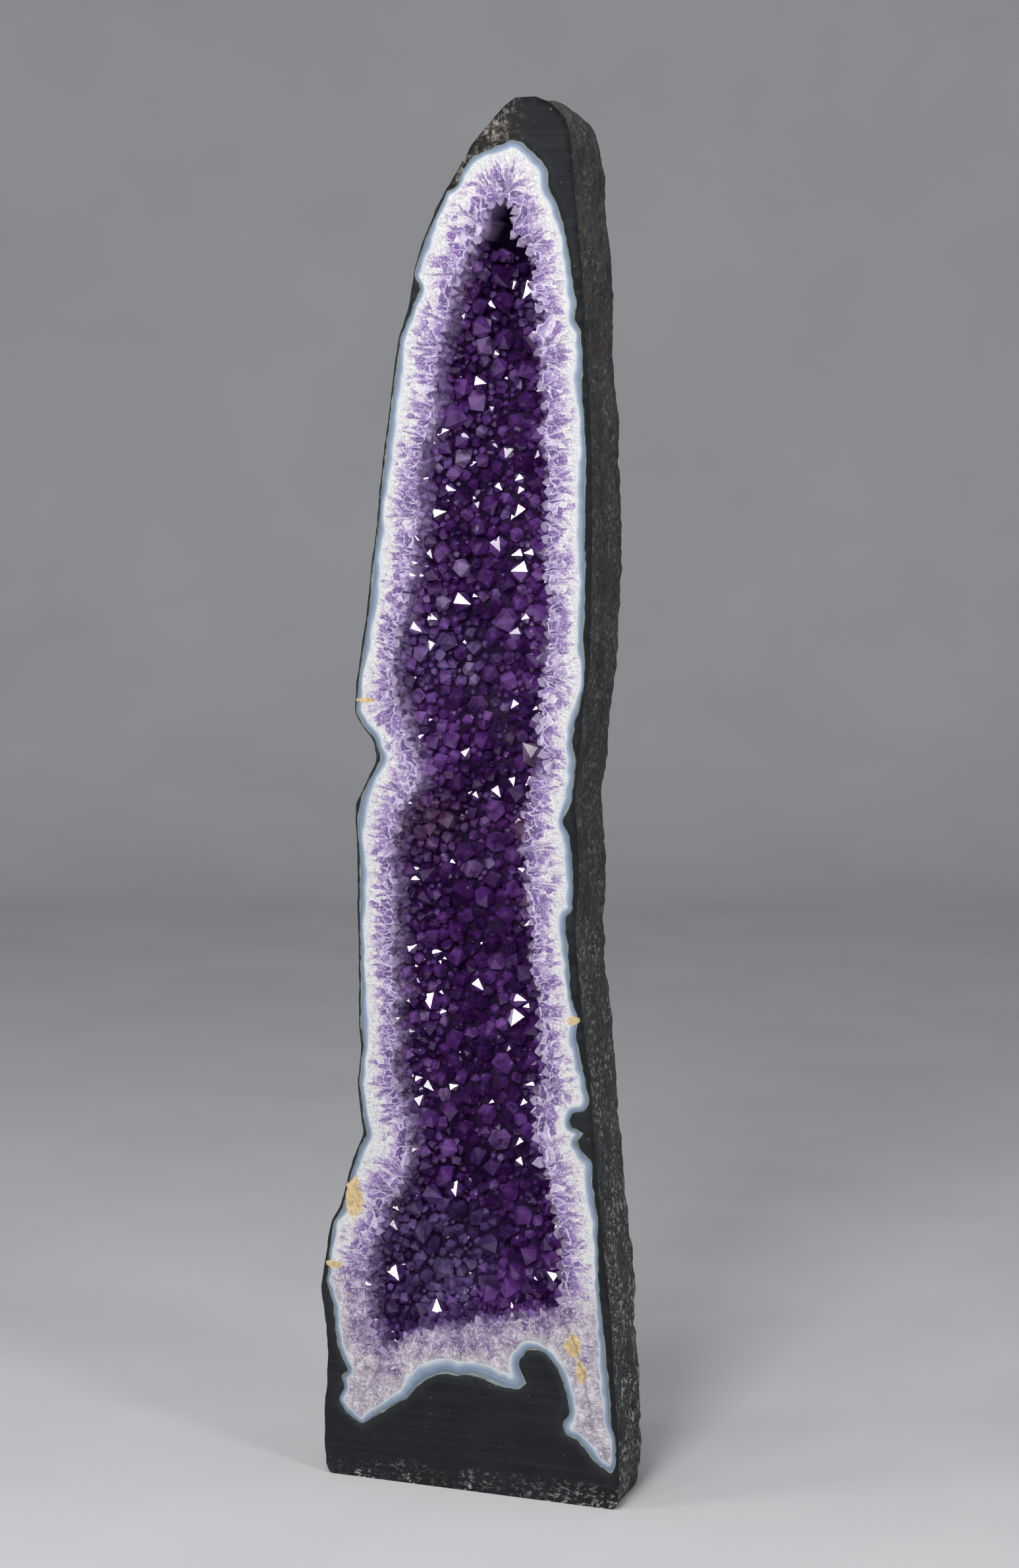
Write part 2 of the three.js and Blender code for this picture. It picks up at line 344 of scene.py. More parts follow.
def shade(piece, smooth):
    piece.data.polygons.foreach_set("use_smooth", np.full(len(piece.data.polygons), smooth))
    piece.data.update()


# ---------------- outlines on the sawn face
def wobbled(loop, parts):
    """Outline with fine unevenness: parts are (wave length, height) pairs."""
    shift = np.zeros(len(loop))
    for k, (wave, height) in enumerate(parts):
        shift += height * lattice_noise(on_face(loop), wave, 11 + k)
    return loop + loop_normals(loop) * shift[:, None]


def start_at(loop, place):
    """The same outline, starting at its point nearest to a place."""
    first = int(((loop - np.array(place)) ** 2).sum(1).argmin())
    return np.roll(loop, -first, axis=0)


TOE = (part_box("agate_rim")[1][0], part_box("agate_rim")[0][2])  # lowest right tip of the agate
rock_edge = face_loops("basalt_shell")[0]
rock_rim = start_at(curve_through(face_loops("basalt_shell")[1], RIM_STEP), TOE)
rough = wobbled(rock_rim, [(24 * MM, 0.8 * MM), (9 * MM, 0.8 * MM), (5 * MM, 0.4 * MM)])
room = nearest(rock_rim, rock_edge)[0]
rock_rim += (rough - rock_rim) * np.clip((room - 1.4 * MM) / (2 * MM), 0.1, 1)[:, None]

arch = np.exp(-(((rock_rim[:, 1] - 0.108) / 0.024) ** 2))
arch *= (rock_rim[:, 0] > -0.075) & (rock_rim[:, 0] < 0.066)
agate_width = 6.2 + 2.6 * lattice_noise(on_face(rock_rim), 0.040, 3) + 7.0 * arch
agate_width += 1.5 * lattice_noise(on_face(rock_rim), 0.012, 4)
agate_inner = respace(inset(rock_rim, np.clip(agate_width, 2.8, 15) * MM), RIM_STEP, 0.9 * MM)
agate_inner = start_at(agate_inner, TOE)

hollow_rim = respace(face_loops("amethyst_lining")[1], RIM_STEP, 5 * MM)
hollow_rim[:, 1] -= 7 * MM * np.clip((0.215 - hollow_rim[:, 1]) / 0.03, 0, 1)
peaks = 1 - 2 * np.abs(lattice_noise(on_face(hollow_rim), 14 * MM, 21))
peaks += 0.7 * (1 - 2 * np.abs(lattice_noise(on_face(hollow_rim), 7 * MM, 22)))
hollow_rim = hollow_rim + loop_normals(hollow_rim) * (peaks * 3.0 * MM - 2 * MM)[:, None]
hollow_rim = respace(hollow_rim, RIM_STEP, 0.8 * MM)


# ---------------- stains
# Ochre crusts on the sawn face: middle x and height, half width and half height
OCHRE = [
    (-0.120, 0.270, 0.010, 0.021),
    (0.110, 0.149, 0.009, 0.013),
    (0.118, 0.125, 0.006, 0.010),
    (-0.142, 0.204, 0.009, 0.004),
    (-0.106, 0.746, 0.014, 0.0024),
    (0.109, 0.455, 0.007, 0.004),
]


def ochre_cover(flat):
    """How close points of the face are to an ochre crust: 1 in its middle, 0 well outside."""
    cover = np.zeros(len(flat))
    for x, z, wide, high in OCHRE:
        spread = ellipse_distance(flat, (x, z), (wide, high))
        cover = np.maximum(cover, np.exp(-0.7 * spread))
    return cover


# ---------------- rock
COLUMNS = 150  # points of one row around the rough outside
RAYS = 120  # rays that find the shape of one row
column = np.arange(COLUMNS)
FROM_FACE = np.minimum(column, COLUMNS - 1 - column) * 2.9 * MM  # about how far each column is behind
NO_CONTACT = 0.05  # far enough from the agate for no contact line to show


def rock_outside():
    """Rows of points around the rough outside, from the foot to the crown, evened out."""
    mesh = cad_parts["basalt_shell"].data
    tree = BVHTree.FromPolygons([v.co for v in mesh.vertices], [p.vertices for p in mesh.polygons])
    turns = np.linspace(0, math.pi / 2, 9)[:-1]
    foot = FOOT_Z + 0.05 * MM + FOOT_ROUND * (1 - np.cos(turns))
    crown = CROWN_Z - 0.1 * MM - CROWN_ROUND * (1 - np.cos(turns))
    middle_rows = int((crown[-1] - foot[-1]) / ROCK_STEP)
    heights = np.concatenate([foot, np.linspace(foot[-1], crown[-1], middle_rows)[1:-1], crown[::-1]])
    rows = len(heights)
    grid = np.zeros((rows, COLUMNS, 3))
    for r, z in enumerate(heights):
        crossing = []
        for a, b in zip(rock_edge, np.roll(rock_edge, -1, axis=0)):
            if (a[1] - z) * (b[1] - z) <= 0 and a[1] != b[1]:
                crossing.append(a[0] + (b[0] - a[0]) * (z - a[1]) / (b[1] - a[1]))
        left, right = min(crossing), max(crossing)
        middle = Vector(((left + right) / 2, FACE_Y, z))
        ring = [(right, FACE_Y)]
        for k in range(1, RAYS):
            turn = math.pi * k / RAYS
            out = Vector((math.cos(turn), math.sin(turn), 0))
            hit = tree.ray_cast(middle + out * 0.5, -out)[0]
            if hit is not None:
                ring.append((hit.x, hit.y))
        ring.append((left, FACE_Y))
        ring = np.array(ring)
        run = np.concatenate([[0], np.cumsum(np.linalg.norm(np.diff(ring, axis=0), axis=1))])
        at = np.linspace(0, run[-1], COLUMNS)
        grid[r, :, 0] = np.interp(at, run, ring[:, 0])
        grid[r, :, 1] = np.interp(at, run, ring[:, 1])
        grid[r, :, 2] = z
    return grid


def soften(grid, axis, steps, fixed_ends):
    """Gaussian smoothing of a grid of points along one axis."""
    reach = 3 * steps
    kernel = np.exp(-0.5 * (np.arange(-reach, reach + 1) / steps) ** 2)
    kernel /= kernel.sum()
    pad = [(0, 0)] * 3
    pad[axis] = (reach, reach)
    padded = np.pad(grid, pad, mode="reflect", reflect_type="odd")
    out = np.zeros_like(grid)
    for k, weight in enumerate(kernel):
        span = [slice(None)] * 3
        span[axis] = slice(k, k + grid.shape[axis])
        out += weight * padded[tuple(span)]
    if fixed_ends:
        ends = [slice(None)] * 3
        for end in (0, -1):
            ends[axis] = end
            out[tuple(ends)] = grid[tuple(ends)]
    return out


def grid_normals(grid):
    along = np.gradient(grid, axis=1)
    up = np.gradient(grid, axis=0)
    normal = np.cross(along, up)
    return normal / np.maximum(np.linalg.norm(normal, axis=2, keepdims=True), 1e-12)


def smoothed(grid):
    """Rows and columns evened out, less so close to the sawn face; heights stay."""
    even = ramp_up(FROM_FACE, 0, 30 * MM)[None, :, None]
    out = soften(grid, 1, 3, True)
    out = soften(out, 0, 1, False) * (1 - even) + soften(out, 0, 3, False) * even
    out[..., 2] = grid[..., 2]
    return out


def round_foot(grid):
    """Draws the lowest rows in, so that the foot is rounded off towards the ground."""
    z = grid[..., 2]
    middle = grid[:, :, :2].mean(1, keepdims=True)
    rise = ramp_up(z, FOOT_Z, FOOT_ROUND)[..., None]
    tuck = FOOT_TUCK * (1 - np.sqrt(1 - (1 - rise) ** 2))
    full = grid[(z[:, 0] > FOOT_Z + FOOT_ROUND).argmax(), :, :2]
    outwards = full - middle[0]
    outwards /= np.linalg.norm(outwards, axis=1, keepdims=True)
    rounded = full[None] - outwards[None] * tuck
    low_rows = z[:, 0] < FOOT_Z + FOOT_ROUND
    grid[low_rows, :, :2] = rounded[low_rows]
    grid[:, 0, 1] = FACE_Y
    grid[:, -1, 1] = FACE_Y


def roughened(grid):
    """Lumps and pits, coarser at the upper left, that fade out at the sawn face and the foot."""
    z = grid[..., 2]
    flat = grid.reshape(-1, 3)
    lumps = 3.0 * layered_noise(flat, 85 * MM, 2, 1) + 2.6 * layered_noise(flat, 28 * MM, 3, 5)
    pits = np.maximum(layered_noise(flat, 12 * MM, 2, 9) - 0.15, 0)
    crust = ramp_up(z.ravel(), 1.21, 0.03) * np.clip((0.02 - flat[:, 0]) / 0.02, 0, 1)
    grain = lattice_noise(flat, 6.5 * MM, 12) + 0.8 * lattice_noise(flat, 9 * MM, 14)
    push = ((lumps - 5.0 * pits + grain * (0.7 + crust)) * MM).reshape(z.shape)
    push *= ramp_up(FROM_FACE, 0, 8 * MM)[None, :]
    push *= ramp_up(z, FOOT_Z, 14 * MM)
    moved = grid + grid_normals(grid) * push[..., None]
    moved[..., 1] = np.maximum(moved[..., 1], FACE_Y)
    return moved


def chip_corners(grid):
    """Chips the two front corners of every row, in the sawn face and clear of the agate."""
    for side, sign in ((0, 1), (-1, -1)):
        edge = grid[:, side]
        edge[:, 1] = FACE_Y
        chips = np.abs(lattice_noise(edge, 13 * MM, 31)) * 1.2
        chips = chips + np.abs(lattice_noise(edge, 5 * MM, 32)) * 0.5
        edge[:, 0] += sign * chips * MM * ramp_up(edge[:, 2], FOOT_Z, 14 * MM)
        for row in edge:
            beside = rock_rim[np.abs(rock_rim[:, 1] - row[2]) < 3 * MM, 0]
            if len(beside):
                row[0] = sign * max(sign * row[0], (sign * beside).max() + LEAST_RIND)
    grid[..., 2] = np.clip(grid[..., 2], FOOT_Z, CROWN_Z)
    grid[0, :, 2] = FOOT_Z


def close_row(body, ring, order):
    """Closes the first or last row with two rings of quads and a fan."""
    middle = ring.mean(0)
    layers = [ring + (middle - ring) * t for t in (0, 0.3, 0.65)]
    points = np.vstack([*layers, middle[None]])
    after = (column + 1) % COLUMNS
    quads = np.stack([column, after, after + COLUMNS, column + COLUMNS], 1)
    fan = np.stack([2 * COLUMNS + column, 2 * COLUMNS + after, np.full(COLUMNS, 3 * COLUMNS)], 1)
    contact = np.full(len(points), NO_CONTACT)
    body.add(points, np.vstack([quads, quads + COLUMNS])[:, ::order], 0, contact=contact)
    body.add(points, fan[:, ::order], 0, contact=contact)


def make_rock(materials):
    """Rock: the sawn face, the rough outside, the wall behind the agate, the foot and the crown."""
    grid = smoothed(rock_outside())
    round_foot(grid)
    grid = roughened(grid)
    chip_corners(grid)
    body = Body()
    outline = np.vstack([grid[:, 0], grid[::-1, -1]])[:, [0, 2]]
    apart = np.linalg.norm(outline - np.roll(outline, 1, axis=0), axis=1) > 1e-5
    flat, triangles = fill(outline[apart], [rock_rim], 6 * MM)
    to_agate, _ = nearest(flat, rock_rim)
    body.add(on_face(flat), triangles, 1, contact=to_agate, ochre=ochre_cover(flat))
    index = np.arange(grid.shape[0] * COLUMNS).reshape(-1, COLUMNS)
    quads = np.stack([index[:-1, :-1], index[:-1, 1:], index[1:, 1:], index[1:, :-1]], -1)
    contact = np.full(index.size, NO_CONTACT)
    body.add(grid.reshape(-1, 3), quads.reshape(-1, 4)[:, ::-1], 0, contact=contact)
    inner, faces = sheet(rock_rim, ROCK_DEPTH)
    body.add(inner, faces, 1, contact=np.full(len(inner), NO_CONTACT))
    close_row(body, grid[0], -1)
    close_row(body, grid[-1], 1)
    return body.build("basalt_rock", materials)


# ---------------- agate and quartz
def make_agate(materials):
    """Agate: the cut layer, and its two hidden walls."""
    body = Body()
    flat, triangles = fill(rock_rim, [agate_inner], 2.4 * MM)
    from_rock, run = nearest(flat, rock_rim)
    from_quartz, _ = nearest(flat, agate_inner)
    across = from_rock / np.maximum(from_rock + from_quartz, 1e-9)
    body.add(on_face(flat), triangles, 0, across=across, along=run, ochre=ochre_cover(flat))
    outer, faces = sheet(rock_rim, ROCK_DEPTH - BACK_GAP)
    body.add(outer, faces[:, ::-1], 0)
    inner, faces = sheet(agate_inner, QUARTZ_DEPTH + BACK_GAP)
    body.add(inner, faces, 0)
    return body.build("agate_layer", materials)


POCKET = (0.034, 1.182)  # middle of the dark pocket below the crown, x and height
POCKET_HALF = (0.026, 0.036)
POCKET_DEPTH = 30  # how much deeper than the hollow it is cut, in mm
BARE_FROM = 1.163  # height above which the wall is bare of points and painted in full shade
FULL_SHADE_DEPTH = 0.05  # depth given to that bare wall so that its painted shade is as dark as it gets


def hollow_depth(flat):
    """Depth of the hollow behind the face at flat points, with the dark pocket cut deeper."""
    distance, _ = nearest(flat, hollow_rim)
    distance[distance < ON_EDGE] = 0
    depth = bowl(distance, HOLLOW_DEPTH, HOLLOW_REACH)
    swell = layered_noise(on_face(flat), 60 * MM, 2, 41) * 5 * MM
    depth += swell * ramp_up(distance, 0, 20 * MM)
    spread = ellipse_distance(flat, POCKET, POCKET_HALF)
    pocket = np.clip(1.5 - spread, 0, 1) * ramp_up(distance, 0, 3 * MM)
    return depth + pocket * POCKET_DEPTH * MM, distance


def make_quartz(materials):
    """Quartz wall: the sawn band, the wall of the hollow under the points, and the back."""
    body = Body()
    flat, triangles = fill(agate_inner, [hollow_rim], BAND_STEP)
    from_agate, run = nearest(flat, agate_inner)
    from_hollow, _ = nearest(flat, hollow_rim)
    across = from_agate / np.maximum(from_agate + from_hollow, 1e-9)
    body.add(on_face(flat), triangles, 0, across=across, along=run, ochre=ochre_cover(flat))
    flat, triangles = split_at_edge(*fill(hollow_rim, [], 5 * MM), hollow_rim)
    depth, _ = hollow_depth(flat)
    wall = behind(flat, depth)
    # Painted shade: the bare top of the hollow gets a depth value that makes the wall material paint it
    # almost black.
    painted_shade_top = (flat[:, 1] > BARE_FROM) & (depth > 1 * MM)
    body.add(wall, triangles, 1, across=np.ones(len(wall)), depth=np.where(painted_shade_top, FULL_SHADE_DEPTH, depth))
    back, faces = sheet(agate_inner, QUARTZ_DEPTH)
    body.add(back, faces[:, ::-1], 1)
    return body.build("quartz_wall", materials)


# ---------------- druse
CANDIDATES = 34000  # random places, of which those that keep clear of each other stay
PACKING = 0.78  # spacing of neighbouring points over the sum of their radii
CORNERS = 13  # of one point: six at the root, six at the belt and the tip
SAW_GAP = 0.05 * MM  # the cut points lie this far behind the cut band
SAWN_STONE = (0.80, 0.70, 0.92)  # colour where the saw went through a point
BRIGHT_SHARE = 0.035  # of the points that mirror the main light at the camera, besides GLINTS
KEY_PLACE = (0.7, -3.3, 2.5)  # of the main light
EYE_PLACE = (1.5523, -3.2248, 0.9735)  # of the camera
# Rows of points along the rim: nearest and farthest behind the face, and reach into the hollow
RIM_ROWS = [(1.0, 4.0, 0.6), (7.0, 12.0, 0.4)]

# Places on the wall of the hollow that differ from the rest: x and height, and how far a tint reaches
GLINTS = [
    (-0.015, 1.044), (-0.046, 0.920), (0.012, 0.924), (0.020, 0.914), (-0.058, 0.821),
    (0.006, 0.739), (0.044, 0.722), (0.028, 0.668), (0.018, 0.581), (0.048, 0.388),
    (0.064, 0.323), (0.057, 0.246), (-0.030, 0.470), (-0.010, 0.655), (0.010, 0.300),
]
LARGE = [
    (0.016, 0.968), (0.024, 0.620), (0.034, 0.556), (0.040, 0.502), (-0.055, 0.629),
    (-0.052, 0.800), (-0.020, 0.860), (0.000, 0.820), (-0.030, 1.010), (0.030, 1.080),
    (-0.050, 0.250), (-0.020, 0.215), (0.010, 0.440), (-0.045, 0.560), (-0.040, 0.330),
]
GREY = [
    (-0.052, 0.785, 0.030), (-0.078, 0.225, 0.045), (-0.045, 0.190, 0.030),
    (0.050, 0.690, 0.016), (-0.072, 0.168, 0.026),
]
ROSY = [(-0.060, 0.628, 0.024), (0.026, 0.618, 0.020), (0.036, 0.553, 0.016), (0.042, 0.500, 0.013)]
VEIN = [(-0.020, 0.738), (0.005, 0.712), (0.030, 0.694), (0.056, 0.672)]


def hollow_places(count):
    """Even random places on the wall of the hollow: points, normals and distances to its rim."""
    low, high = hollow_rim.min(0) - 4 * MM, hollow_rim.max(0) + 4 * MM
    step = 2.0 * MM
    xs, zs = np.arange(low[0], high[0], step), np.arange(low[1], high[1], step)
    grid = np.column_stack([np.repeat(xs, len(zs)), np.tile(zs, len(xs))])
    depth, distance = hollow_depth(grid)
    within = inside(grid, hollow_rim)
    depth[~within] = 0
    depth = depth.reshape(len(xs), len(zs))
    slope_x, slope_z = np.clip(np.gradient(depth, step), -6, 6)
    flat = rng.uniform(low, high, (count * 5, 2))
    flat = flat[inside(flat, hollow_rim)]

    def at(values):
        """Values of the grid between its points."""
        u = np.clip((flat - low) / step, 0, np.array([len(xs), len(zs)]) - 1.001)
        i, j = u.astype(int).T
        s, t = (u - u.astype(int)).T
        near = values[i, j] * (1 - t) + values[i, j + 1] * t
        return near * (1 - s) + (values[i + 1, j] * (1 - t) + values[i + 1, j + 1] * t) * s

    lean_x, lean_z = at(slope_x), at(slope_z)
    steep = np.sqrt(1 + lean_x**2 + lean_z**2)
    normal = np.column_stack([lean_x, -np.ones(len(flat)), lean_z]) / steep[:, None]
    points = behind(flat, at(depth))
    keep = rng.uniform(0, 5, len(flat)) < steep
    to_rim = at(distance.reshape(depth.shape))
    return points[keep][:count], normal[keep][:count], to_rim[keep][:count]


def pack(points, radii):
    """Indices of points that keep clear of the ones chosen before them."""
    places, sizes, chosen = np.empty((len(points), 3)), np.empty(len(points)), []
    for i, (place, radius) in enumerate(zip(points, radii)):
        n = len(chosen)
        gap = ((places[:n] - place) ** 2).sum(1)
        if (gap > (PACKING * (sizes[:n] + radius)) ** 2).all():
            places[n], sizes[n] = place, radius
            chosen.append(i)
    return np.array(chosen)


def unit(vectors):
    return vectors / np.linalg.norm(vectors, axis=-1, keepdims=True)


def across_axes(axis):
    """Two directions square to each axis and to each other."""
    side = unit(np.cross(axis, np.where(np.abs(axis[:, 2:3]) < 0.8, [[0, 0, 1.0]], [[1.0, 0, 0]])))
    return side, np.cross(axis, side)


def face_the_light(place, axis, tall):
    """Axes and turns with which one face of each point mirrors the key light."""
    shine = unit(unit(np.array(KEY_PLACE) - place) + unit(np.array(EYE_PLACE) - place))
    steep = np.arctan2(tall, math.cos(math.pi / 6))[:, None]
    across = unit(axis - shine * (axis * shine).sum(1, keepdims=True))
    turned = np.cos(steep) * shine + np.sin(steep) * across
    side, other = across_axes(turned)
    angle = np.arctan2((shine * other).sum(1), (shine * side).sum(1))
    return turned, angle - math.pi / 6


def point_shapes(place, axis, radius, tall, turn, uneven):
    """Closed six-sided points: (n, 13, 3) corners, and the triangles that all of them share."""
    n = len(place)
    loose = uneven[:, None]
    turn = turn[:, None] + np.arange(6) * math.pi / 3 + loose * rng.uniform(-0.10, 0.10, (n, 6))
    side, other = across_axes(axis)
    ring = np.cos(turn)[..., None] * side[:, None] + np.sin(turn)[..., None] * other[:, None]
    ring *= 1 + loose[..., None] * rng.uniform(-0.10, 0.08, (n, 6))[..., None]
    collar = (tall * radius * rng.uniform(0.15, 0.40, n))[:, None]
    step = np.where(np.arange(6) % 2, 0.12, -0.12) + rng.uniform(-0.10, 0.10, (n, 6))
    wave = collar + radius[:, None] * step * loose
    root = place - axis * (0.6 * radius)[:, None]
    base = root[:, None] + ring * 0.85 * radius[:, None, None]
    belt = place[:, None] + ring * radius[:, None, None] + axis[:, None] * wave[..., None]
    apex = place + axis * (collar[:, 0] + radius * tall)[:, None]
    lean = rng.normal(0, 0.12, (2, n)) * radius * uneven
    apex += lean[0][:, None] * side + lean[1][:, None] * other
    corners = np.concatenate([base, belt, apex[:, None]], axis=1)
    triangles = []
    for k in range(6):
        m = (k + 1) % 6
        triangles += [(k, m, 6 + m), (k, 6 + m, 6 + k), (6 + k, 6 + m, 12)]
    triangles += [(0, k + 1, k) for k in range(1, 5)]
    return corners, np.array(triangles)


def nearest_places(points, targets):
    """Indices of the points closest, seen from the front, to each target."""
    flat = points[:, [0, 2]]
    return [int(((flat - np.array(t)) ** 2).sum(1).argmin()) for t in targets]


def stone_colours(place):
    """Colour of every point: deep purple, paler at the rim (partly real paler quartz, partly painted
    light), grey, rosy or brown in places.
    """
    n = len(place)
    palette = np.array([
        (0.085, 0.014, 0.165), (0.250, 0.060, 0.450), (0.470, 0.180, 0.760), (0.760, 0.520, 0.960)
    ])
    height = np.interp(place[:, 2], [0.16, 0.50, 0.66, 0.80], [-0.20, -0.20, -0.06, 0.02])
    tone = rng.beta(1.0, 1.7, n) + height + 0.24 * layered_noise(place, 55 * MM, 2, 61)
    level = np.clip(tone, 0.01, 0.999) * 3
    i = level.astype(int)
    colour = palette[i] + (palette[np.minimum(i + 1, 3)] - palette[i]) * (level - i)[:, None]
    flat = place[:, [0, 2]]

    def blend(weight, target):
        nonlocal colour
        weight = np.clip(weight, 0, 1)[:, None]
        colour = colour * (1 - weight) + np.array(target) * weight

    # Paler near the sawn face: partly the real paler quartz at the cut, partly painted light that fades
    # with depth behind the face.
    depth = (place[:, 1] - FACE_Y) / MM
    blend(0.9 * np.exp(-((depth / 17) ** 2)) * rng.uniform(0.5, 1.0, n), (0.78, 0.66, 0.90))
    for x, z, reach in ROSY:
        blend(0.8 * np.exp(-ellipse_distance(flat, (x, z), reach)), (0.40, 0.20, 0.36))
    for x, z, reach in GREY:
        near = np.exp(-ellipse_distance(flat, (x, z), reach))
        blend(0.6 * near * rng.uniform(0.1, 1, n), (0.56, 0.48, 0.94))
    along_vein = np.min([np.linalg.norm(flat - np.array(v), axis=1) for v in VEIN], axis=0)
    blend(0.55 * np.exp(-((along_vein / 0.008) ** 2)), (0.60, 0.46, 0.46))
    return colour


def paint_faces(mesh, colours):
    """Stores a colour per face, which the amethyst material reads."""
    layer = mesh.attributes.new("stone", "FLOAT_COLOR", "FACE")
    rgba = np.column_stack([colours, np.ones(len(colours))])
    layer.data.foreach_set("color", rgba.ravel().astype(np.float32))


def crystal_set(name, corners, triangles, colours):
    """One mesh of points that do not touch each other."""
    n = len(corners)
    faces = (triangles[None] + CORNERS * np.arange(n)[:, None, None]).reshape(-1, 3)
    mesh = bpy.data.meshes.new(name)
    mesh.from_pydata(corners.reshape(-1, 3).tolist(), [], faces.tolist())
    paint_faces(mesh, np.repeat(colours, len(triangles), axis=0))
    return placed(name, mesh)


def combine(first, second, operation):
    """Joins the second closed solid to the first, or cuts it away."""
    step = first.modifiers.new("combine", "BOOLEAN")
    step.operation, step.solver, step.object = operation, "MANIFOLD", second
    graph = bpy.context.evaluated_depsgraph_get()
    made = bpy.data.meshes.new_from_object(first.evaluated_get(graph))
    first.modifiers.remove(step)
    first.data = made
    bpy.data.objects.remove(second)
    return first


def apart_groups(corners):
    """Numbers that put overlapping points into different groups."""
    middle = (corners.min(1) + corners.max(1)) / 2
    reach = np.linalg.norm(corners - middle[:, None], axis=2).max(1)
    group = np.full(len(corners), -1)
    for i in range(len(corners)):
        gap = np.linalg.norm(middle[:i] - middle[i], axis=1)
        used = set(group[:i][gap < reach[:i] + reach[i]].tolist())
        group[i] = next(k for k in range(len(used) + 1) if k not in used)
    return group


def rim_places():
    """Places just behind the sawn face along the rim of the hollow, and their directions."""
    even = respace(hollow_rim, 6.0 * MM)
    inwards = loop_normals(respace(hollow_rim, 6.0 * MM, 4 * MM))
    places, axes = [], []
    for low, high, out in RIM_ROWS:
        flat = even + inwards * rng.normal(out, 0.8, len(even))[:, None] * MM
        places.append(behind(flat, rng.uniform(low, high, len(even)) * MM))
        axes.append(np.column_stack([inwards[:, 0], rng.uniform(-0.5, 0.1, len(even)), inwards[:, 1]]))
    places, axes = np.vstack(places), unit(np.vstack(axes))
    keep = (places[:, 2] < BARE_FROM) | (places[:, 1] < FACE_Y + 5 * MM)
    return places[keep], axes[keep]


def point_places():
    """Places of all the points, their directions and radii, special ones first, and their number."""
    points, normals, to_rim = hollow_places(CANDIDATES)
    outside_pocket = ellipse_distance(points[:, [0, 2]], POCKET, POCKET_HALF) > 0.9
    kept = outside_pocket & ((points[:, 2] < BARE_FROM) | (to_rim < 2 * MM))
    points, normals, to_rim = points[kept], normals[kept], to_rim[kept]
    n = len(points)
    radii = 5.0 + 4.8 * rng.beta(1.7, 2.4, n) + 1.3 * layered_noise(points, 70 * MM, 2, 51)
    radii[: n // 80] = rng.uniform(10, 12, n // 80)
    radii *= np.clip(0.66 + to_rim / (30 * MM), 0.6, 1)
    radii = np.clip(radii, 3.0, 12)
    radii[n // 2 :] = rng.uniform(2.6, 4.2, n - n // 2)
    special = nearest_places(points, LARGE) + nearest_places(points, GLINTS)
    rest = np.setdiff1d(np.arange(n), special)
    rim, rim_axis = rim_places()
    points = np.vstack([points[special], rim, points[rest]])
    axis = np.vstack([normals[special], rim_axis, normals[rest]])
    radius = np.concatenate([
        rng.uniform(11.5, 13.5, len(LARGE)),
        rng.uniform(6.0, 9.0, len(GLINTS)),
        rng.uniform(3.8, 6.2, len(rim)),
        radii[rest],
    ]) * MM
    return points, axis, radius, len(special)


def joined(sets):
    """All the closed meshes of a list united, two at a time."""
    while len(sets) > 1:
        sets = [
            combine(sets[i], sets[i + 1], "UNION") if i + 1 < len(sets) else sets[i]
            for i in range(0, len(sets), 2)
        ]
    return sets[0]


def make_druse(material):
    """Amethyst points on the wall of the hollow, sawn off at the face."""
    points, axis, radius, special = point_places()
    chosen = pack(points, radius)
    place, radius, axis = points[chosen], radius[chosen], axis[chosen]
    count = len(place)
    tall = rng.uniform(0.85, 1.25, count)
    turn = rng.uniform(0, math.pi / 3, count)
    bright = (chosen >= len(LARGE)) & (chosen < special)
    bright |= rng.uniform(0, 1, count) < BRIGHT_SHARE
    axis = unit(axis + rng.normal(0, 0.24, axis.shape))
    axis[bright], turn[bright] = face_the_light(place[bright], axis[bright], tall[bright])
    corners, triangles = point_shapes(place, axis, radius, tall, turn, np.where(bright, 0.2, 1.0))
    colours = stone_colours(place)
    group = apart_groups(corners)
    druse = joined([
        crystal_set(f"crystals_{g}", corners[group == g], triangles, colours[group == g])
        for g in range(group.max() + 1)
    ])
    saw = box_solid("saw", (-0.3, FACE_Y - 0.3, FOOT_Z), (0.3, FACE_Y + SAW_GAP, CROWN_Z))
    paint_faces(saw.data, np.tile(SAWN_STONE, (6, 1)))
    druse = combine(druse, saw, "DIFFERENCE")
    druse.name = druse.data.name = "amethyst_points"
    druse.data.materials.clear()
    druse.data.materials.append(material)
    return druse


def box_solid(name, low, high):
    mesh = bpy.data.meshes.new(name)
    made = bmesh.new()
    bmesh.ops.create_cube(made, size=1)
    for vertex in made.verts:
        vertex.co = [l + (h - l) * (c + 0.5) for l, h, c in zip(low, high, vertex.co)]
    made.to_mesh(mesh)
    made.free()
    return placed(name, mesh)


